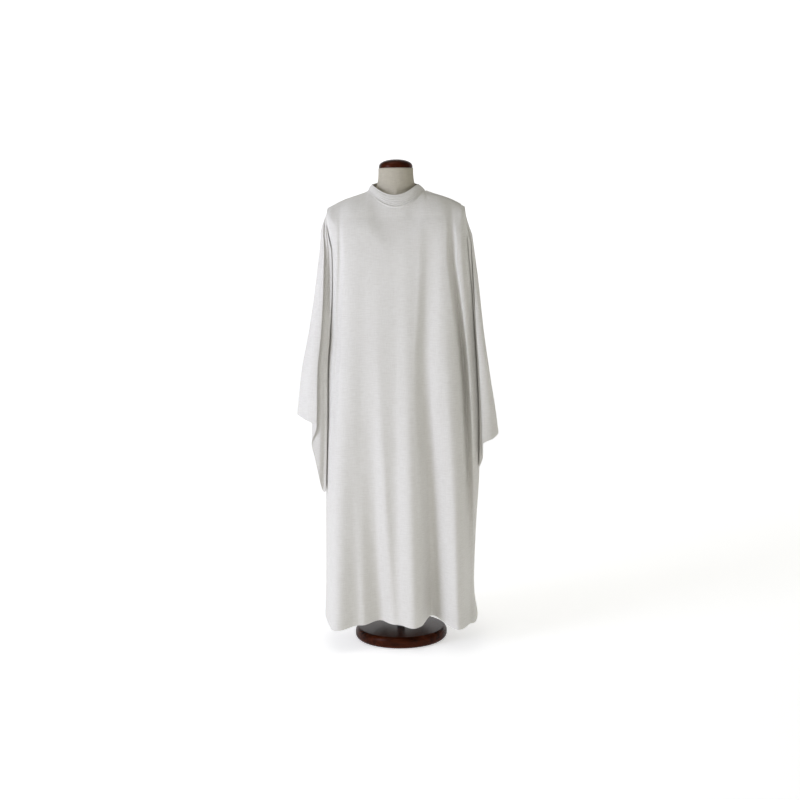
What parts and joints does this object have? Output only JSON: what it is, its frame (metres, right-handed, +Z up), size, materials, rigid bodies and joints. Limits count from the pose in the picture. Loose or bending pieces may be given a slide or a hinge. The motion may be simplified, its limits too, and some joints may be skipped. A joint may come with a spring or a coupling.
{
  "type": "alb on dress form",
  "caption": "Wide-cut alb with hanging sleeves, stand collar and shoulder opening, on a limbless dress form with a round wooden base.",
  "frame": {"origin": "centre of the round base's underside, on the floor", "axes": "+Z up, -Y to the garment's front, +X to the wearer's left"},
  "size_m": [0.6916, 0.4332, 1.655],
  "materials": {
    "alb_cloth": "matte off-white cross weave",
    "form_linen": "matte natural linen",
    "dark_wood": "polished dark red-brown",
    "pole_steel": "brushed"
  },
  "bodies": {
    "root": {"front": "alb_cloth", "back": "alb_cloth", "sleeve_right": "alb_cloth", "sleeve_left": "alb_cloth", "collar": "alb_cloth", "shoulder_strip": "alb_cloth", "form_torso": "form_linen", "neck_cap": "dark_wood", "pole": "pole_steel", "base": "dark_wood"}
  },
  "joints": []
}
